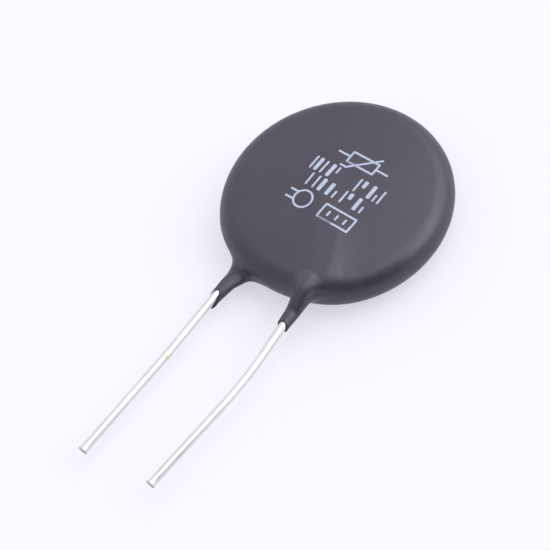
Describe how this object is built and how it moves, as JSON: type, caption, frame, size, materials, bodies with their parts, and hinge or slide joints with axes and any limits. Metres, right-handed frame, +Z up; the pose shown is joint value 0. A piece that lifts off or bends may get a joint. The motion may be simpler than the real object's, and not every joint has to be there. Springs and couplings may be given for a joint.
{
  "type": "disc inrush current limiter",
  "caption": "Dip-coated disc thermistor with two tinned leads, used to limit inrush current in a power supply.",
  "frame": {"origin": "on the surface that the part lies on, in the middle of its whole length and width", "axes": "+Z up out of the printed face, +Y from the cut ends of the leads towards the disc, +X to the side of the front lead"},
  "size_m": [0.0274, 0.0545, 0.0057],
  "materials": {
    "skin": "satin dip coating, dark charcoal",
    "ceramic": "fired, unglazed",
    "silver": "fired silver print, dull",
    "solder": "solder, satin",
    "tin": "bright tinned copper wire"
  },
  "bodies": {
    "root": {"coating": "skin", "ceramic_disc": "ceramic", "front_electrode": "silver", "rear_electrode": "silver", "front_solder_joint": "solder", "rear_solder_joint": "solder", "front_lead": "tin", "rear_lead": "tin"}
  },
  "joints": []
}
